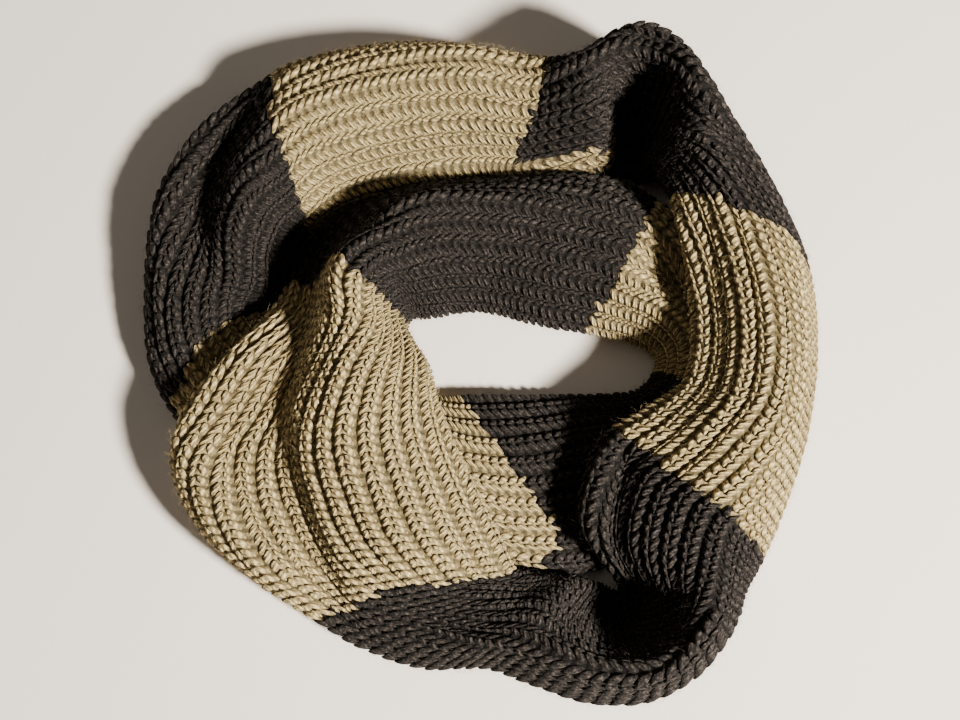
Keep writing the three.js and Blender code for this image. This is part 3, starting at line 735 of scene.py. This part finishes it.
def multiplied(tree, color, factor):
    """The output socket of a colour times a factor."""
    mixer = color_mixer(tree, color, factor)
    mixer.blend_type = "MULTIPLY"
    mixer.inputs["Factor"].default_value = 1
    return mixer.outputs["Result"]


def blended(tree, share, first, second):
    """The output socket of one colour that turns into another as the share goes from 0 to 1."""
    mixer = color_mixer(tree, first, second)
    link(tree, share, mixer.inputs["Factor"])
    return mixer.outputs["Result"]


def product(tree, first, second):
    """The output socket of one value times another."""
    times = tree.nodes.new("ShaderNodeMath")
    times.operation = "MULTIPLY"
    link(tree, first, times.inputs[0])
    link(tree, second, times.inputs[1])
    return times.outputs["Value"]


def folded(tree, value):
    """The output socket of a value that climbs to a half in the middle of each unit and falls again."""
    fold = tree.nodes.new("ShaderNodeMath")
    fold.operation = "PINGPONG"
    fold.inputs[1].default_value = 0.5
    link(tree, value, fold.inputs[0])
    return fold.outputs["Value"]


def ranged(tree, value, span=(0, 1), lowest=0, highest=1, easing="LINEAR"):
    """The output socket of a value whose span is stretched from lowest to highest and cut off there."""
    stretch = tree.nodes.new("ShaderNodeMapRange")
    stretch.interpolation_type = easing
    stretch.inputs["From Min"].default_value = span[0]
    stretch.inputs["From Max"].default_value = span[1]
    stretch.inputs["To Min"].default_value = lowest
    stretch.inputs["To Max"].default_value = highest
    link(tree, value, stretch.inputs["Value"])
    return stretch.outputs["Result"]


def bumped(tree, height, relief, normal=None):
    """The output socket of a normal that a relief bends."""
    strength, depth = relief
    bump = tree.nodes.new("ShaderNodeBump")
    bump.inputs["Strength"].default_value = strength
    bump.inputs["Distance"].default_value = depth * MM
    link(tree, height, bump.inputs["Height"])
    if normal is not None:
        link(tree, normal, bump.inputs["Normal"])
    return bump.outputs["Normal"]


def uv_map(tree, name):
    """The output socket of one of a piece's own UV maps."""
    place = tree.nodes.new("ShaderNodeUVMap")
    place.uv_map = name
    return place.outputs["UV"]


def separated(tree, vector):
    """The output sockets of a vector's parts."""
    parts = tree.nodes.new("ShaderNodeSeparateXYZ")
    link(tree, vector, parts.inputs["Vector"])
    return parts.outputs


def make_heather_group():
    """A node group for heathered yarn: its fibre colours, mixed by fine flecks and by each stitch's shade."""
    group = bpy.data.node_groups.new("heathered_yarn", "ShaderNodeTree")
    for name, kind in HEATHER_INPUTS:
        group.interface.new_socket(name, in_out="INPUT", socket_type=kind)
    group.interface.new_socket("Color", in_out="OUTPUT", socket_type="NodeSocketColor")
    group.interface.new_socket("Relief", in_out="OUTPUT", socket_type="NodeSocketFloat")
    given = group.nodes.new("NodeGroupInput").outputs
    result = group.nodes.new("NodeGroupOutput").inputs
    place = group.nodes.new("ShaderNodeTexCoord").outputs["Object"]
    shade = group.nodes.new("ShaderNodeAttribute")
    shade.attribute_name = "shade"

    fleck = group.nodes.new("ShaderNodeTexNoise")
    fleck.inputs["Detail"].default_value = FLECK_DETAIL
    fleck.inputs["Roughness"].default_value = FLECK_ROUGHNESS
    link(group, place, fleck.inputs["Vector"])
    link(group, given["Fleck Scale"], fleck.inputs["Scale"])
    patch = group.nodes.new("ShaderNodeTexNoise")
    patch.inputs["Scale"].default_value = PATCH_SCALE
    patch.inputs["Detail"].default_value = PATCH_DETAIL
    link(group, place, patch.inputs["Vector"])

    deep = product(group, ranged(group, patch.outputs["Fac"], PATCH_SPAN), shade.outputs["Fac"])
    pale = product(group, ranged(group, fleck.outputs["Fac"], PALE_SPAN), given["Pale Share"])
    dark = ranged(group, fleck.outputs["Fac"], DARK_SPAN, DARK_FLECK)
    base = blended(group, deep, given["Fibre"], given["Deep Fibre"])
    full = blended(group, pale, base, given["Pale Fibre"])
    link(group, multiplied(group, full, dark), result["Color"])
    link(group, fleck.outputs["Fac"], result["Relief"])
    return group


def add_plain(tree, color, normal, shader):
    """Loose fibres, with nothing added."""
    link(tree, color, shader.inputs["Base Color"])
    link(tree, normal, shader.inputs["Normal"])


def add_twist(tree, color, normal, shader):
    """The yarn's plies winding round each stitch leg, with painted shade in their grooves and a painted
    highlight on their crests; the leg has painted shade at its ends, under its neighbours.
    """
    uv = uv_map(tree, "ply")
    slant = tree.nodes.new("ShaderNodeMapping")
    slant.inputs["Rotation"].default_value = (0, 0, math.radians(PLY_SLANT))
    link(tree, uv, slant.inputs["Vector"])
    twist = tree.nodes.new("ShaderNodeTexWave")
    twist.inputs["Scale"].default_value = PLY_TURNS
    twist.inputs["Distortion"].default_value = PLY_DISTORTION
    link(tree, slant.outputs["Vector"], twist.inputs["Vector"])
    # Painted shade in the ply grooves and a painted highlight on their crests
    plies = ranged(tree, twist.outputs["Fac"], lowest=PLY_GROOVE_PAINTED_SHADE, highest=PLY_CREST_PAINTED_HIGHLIGHT)
    # Painted shade at each leg's root and tip, where it passes under its neighbours
    ends = ranged(tree, folded(tree, separated(tree, uv)["X"]), LEG_END_SPAN, LEG_END_PAINTED_SHADE)
    plied = multiplied(tree, color, plies)
    link(tree, multiplied(tree, plied, ends), shader.inputs["Base Color"])
    link(tree, bumped(tree, twist.outputs["Fac"], PLY_RELIEF, normal), shader.inputs["Normal"])


def add_purl_bars(tree, color, normal, shader):
    """The backs of the stitches between the ribs: a bar for each row, with painted shade between the bars and
    down in the valley.
    """
    knit = separated(tree, uv_map(tree, "knit"))
    # Painted shade between the purl bars and down in the rib valleys; the bars also give a slight relief
    bars = ranged(tree, folded(tree, knit["X"]), PURL_SPAN, PURL_GAP_PAINTED_SHADE, easing="SMOOTHSTEP")
    valleys = ranged(tree, folded(tree, knit["Y"]), VALLEY_SPAN, VALLEY_PAINTED_SHADE)
    barred = multiplied(tree, color, bars)
    link(tree, multiplied(tree, barred, valleys), shader.inputs["Base Color"])
    link(tree, bumped(tree, bars, PURL_RELIEF, normal), shader.inputs["Normal"])


def make_knit(name, heather, yarn, add_detail, shade=1.0):
    """A matte wool finish, its colours times shade (the painted shade of the cloth behind the stitches, or
    the lighter loose fibres), with a detail from one of the functions above.
    """
    material = bpy.data.materials.new(name)
    material.use_nodes = True
    tree = material.node_tree
    shader = tree.nodes["Principled BSDF"]
    shader.inputs["Roughness"].default_value = WOOL_ROUGHNESS
    shader.inputs["Specular IOR Level"].default_value = WOOL_SPECULAR
    shader.inputs["Sheen Weight"].default_value = yarn["sheen"]
    shader.inputs["Sheen Roughness"].default_value = SHEEN_ROUGHNESS
    shader.inputs["Sheen Tint"].default_value = yarn["sheen_tint"]
    mixed = tree.nodes.new("ShaderNodeGroup")
    mixed.node_tree = heather
    for socket, key in (("Fibre", "fibre"), ("Deep Fibre", "deep"), ("Pale Fibre", "pale")):
        mixed.inputs[socket].default_value = [c * shade for c in yarn[key][:3]] + [1]
    mixed.inputs["Fleck Scale"].default_value = FLECK_SCALE
    mixed.inputs["Pale Share"].default_value = yarn["pale_share"]
    add_detail(tree, mixed.outputs["Color"], bumped(tree, mixed.outputs["Relief"], FIBRE_RELIEF), shader)
    return material


def add_floor():
    """The pale surface that the scarf lies on."""
    work = bmesh.new()
    bmesh.ops.create_grid(work, x_segments=1, y_segments=1, size=FLOOR_SIZE)
    mesh = bpy.data.meshes.new("floor")
    work.to_mesh(mesh)
    work.free()
    paint = bpy.data.materials.new("floor_paint")
    paint.use_nodes = True
    shader = paint.node_tree.nodes["Principled BSDF"]
    shader.inputs["Base Color"].default_value = FLOOR_COLOR
    shader.inputs["Roughness"].default_value = FLOOR_ROUGHNESS
    mesh.materials.append(paint)
    floor = bpy.data.objects.new("floor", mesh)
    bpy.context.scene.collection.objects.link(floor)


def add_area_light(name, place, size, power, color):
    """A round lamp that faces the middle of the floor."""
    light = bpy.data.lights.new(name, "AREA")
    light.shape = "DISK"
    light.size = size
    light.energy = power
    light.color = color
    lamp = bpy.data.objects.new(name, light)
    lamp.location = place
    lamp.rotation_euler = (-Vector(place)).to_track_quat("-Z", "Y").to_euler()
    bpy.context.scene.collection.objects.link(lamp)


def add_lights():
    """The room's even light and the lamps."""
    world = bpy.data.worlds.new("room")
    world.use_nodes = True
    backdrop = world.node_tree.nodes["Background"]
    backdrop.inputs["Color"].default_value = ROOM_COLOR
    backdrop.inputs["Strength"].default_value = ROOM_STRENGTH
    bpy.context.scene.world = world
    for name, azimuth, elevation, distance, size, power, color in LIGHT_ROWS:
        turn = math.radians(azimuth)
        climb = math.radians(elevation)
        flat = math.cos(climb) * distance
        place = (flat * math.cos(turn), flat * math.sin(turn), math.sin(climb) * distance)
        add_area_light(name, place, size, power, color)


def add_camera():
    """Looks down steeply from the near side, as the photograph does."""
    elevation = math.radians(CAMERA_ELEVATION)
    lens = bpy.data.cameras.new("camera")
    lens.sensor_width = CAMERA_SENSOR
    lens.lens = CAMERA_LENS
    camera = bpy.data.objects.new("camera", lens)
    offset = Vector((0, -math.cos(elevation), math.sin(elevation))) * CAMERA_DISTANCE
    camera.location = Vector(CAMERA_AIM) + offset
    camera.rotation_euler = (-offset).to_track_quat("-Z", "Y").to_euler()
    bpy.context.scene.collection.objects.link(camera)
    bpy.context.scene.camera = camera


def make_finishes(heather):
    """For each yarn, the finishes of the cloth, of the stitches on it and of its loose fibres."""
    finishes = {}
    for name, yarn in YARNS.items():
        slot = yarn["slot"]
        finishes[name] = {
            # The cloth behind the stitches is darkened all over by painted shade
            "cloth": make_knit(slot + "_cloth", heather, yarn, add_purl_bars, BACK_PAINTED_SHADE),
            "stitch": make_knit(slot + "_stitch", heather, yarn, add_twist),
            "fuzz": make_knit(slot + "_fuzz", heather, yarn, add_plain, yarn["fuzz_shade"]),
        }
    return finishes


def dress(cloth):
    """Knits every stretch in place of its solid, and gives the hidden core the charcoal cloth."""
    finishes = make_finishes(make_heather_group())
    for seed, stretch in enumerate(NAMES):
        yarn = stretch.split("_")[0]
        finish = finishes[yarn]
        shell = add_shell(cloth, stretch, finish["cloth"])
        stitches = add_stitches(cloth, stretch, finish["stitch"], seed)
        fuzz = add_fuzz(cloth, stretch, finish["fuzz"], FUZZ_FIRST_SEED + seed)
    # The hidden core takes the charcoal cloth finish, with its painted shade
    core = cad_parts["hidden_layers"]
    core.data.materials.clear()
    core.data.materials.append(finishes["dark"]["cloth"])


add_camera()
add_lights()
add_floor()
dress(Cloth())
